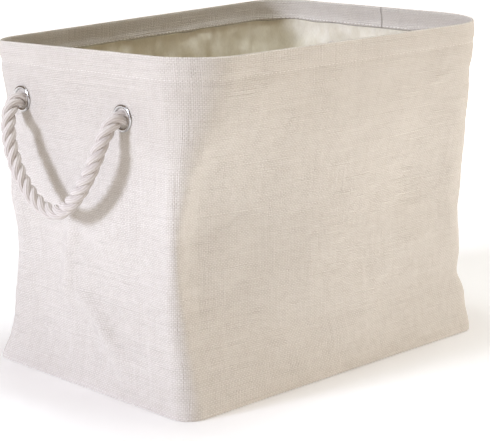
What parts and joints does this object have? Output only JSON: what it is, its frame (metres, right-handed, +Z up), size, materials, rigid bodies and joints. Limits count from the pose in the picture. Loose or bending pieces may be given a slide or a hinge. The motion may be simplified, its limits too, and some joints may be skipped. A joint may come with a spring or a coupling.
{
  "type": "fabric storage bin",
  "caption": "Soft rectangular storage bin of linen-look cloth with a turned hem, thin lining, stiffened base, metal eyelets and rope handles that swing up.",
  "frame": {"origin": "middle of the underside, on the surface the bin stands on", "axes": "+X along the bin's length, towards the end that has the wall panel's seam; +Y across it; +Z up, out of the open top"},
  "size_m": [0.5374, 0.331, 0.36],
  "materials": {
    "outer_cloth": "linen-look plain weave with slubs, matt, warm off-white",
    "lining_cloth": "thin crinkled cream lining, slight sheen",
    "thread": "matt polyester sewing thread, off-white",
    "base_board": "matt stiffening board",
    "eyelet_metal": "polished nickel-look plated steel",
    "rope_cotton": "three-strand twisted cotton, undyed"
  },
  "bodies": {
    "bin": {"outer_wall": "outer_cloth", "outer_base": "outer_cloth", "turned_hem": "outer_cloth", "panel_seam_allowance": "outer_cloth", "lining_wall": "lining_cloth", "lining_base": "lining_cloth", "base_board": "base_board", "hem_topstitch": "thread", "hem_bobbin_stitch": "thread", "eyelet_left_front": "eyelet_metal", "eyelet_washer_left_front": "eyelet_metal", "rope_knot_left_front": "rope_cotton", "eyelet_left_rear": "eyelet_metal", "eyelet_washer_left_rear": "eyelet_metal", "rope_knot_left_rear": "rope_cotton", "eyelet_right_front": "eyelet_metal", "eyelet_washer_right_front": "eyelet_metal", "rope_knot_right_front": "rope_cotton", "eyelet_right_rear": "eyelet_metal", "eyelet_washer_right_rear": "eyelet_metal", "rope_knot_right_rear": "rope_cotton"},
    "handle_left": {"rope_handle_left": "rope_cotton"},
    "handle_right": {"rope_handle_right": "rope_cotton"}
  },
  "joints": [
    {"name": "handle_left_swing", "type": "hinge", "parent": "bin", "child": "handle_left", "pos_m": [-0.24, 0.019, 0.293], "axis": [0, 1, 0], "range_deg": [0, 150]},
    {"name": "handle_right_swing", "type": "hinge", "parent": "bin", "child": "handle_right", "pos_m": [0.24, -0.019, 0.293], "axis": [0, -1, 0], "range_deg": [0, 150]}
  ]
}
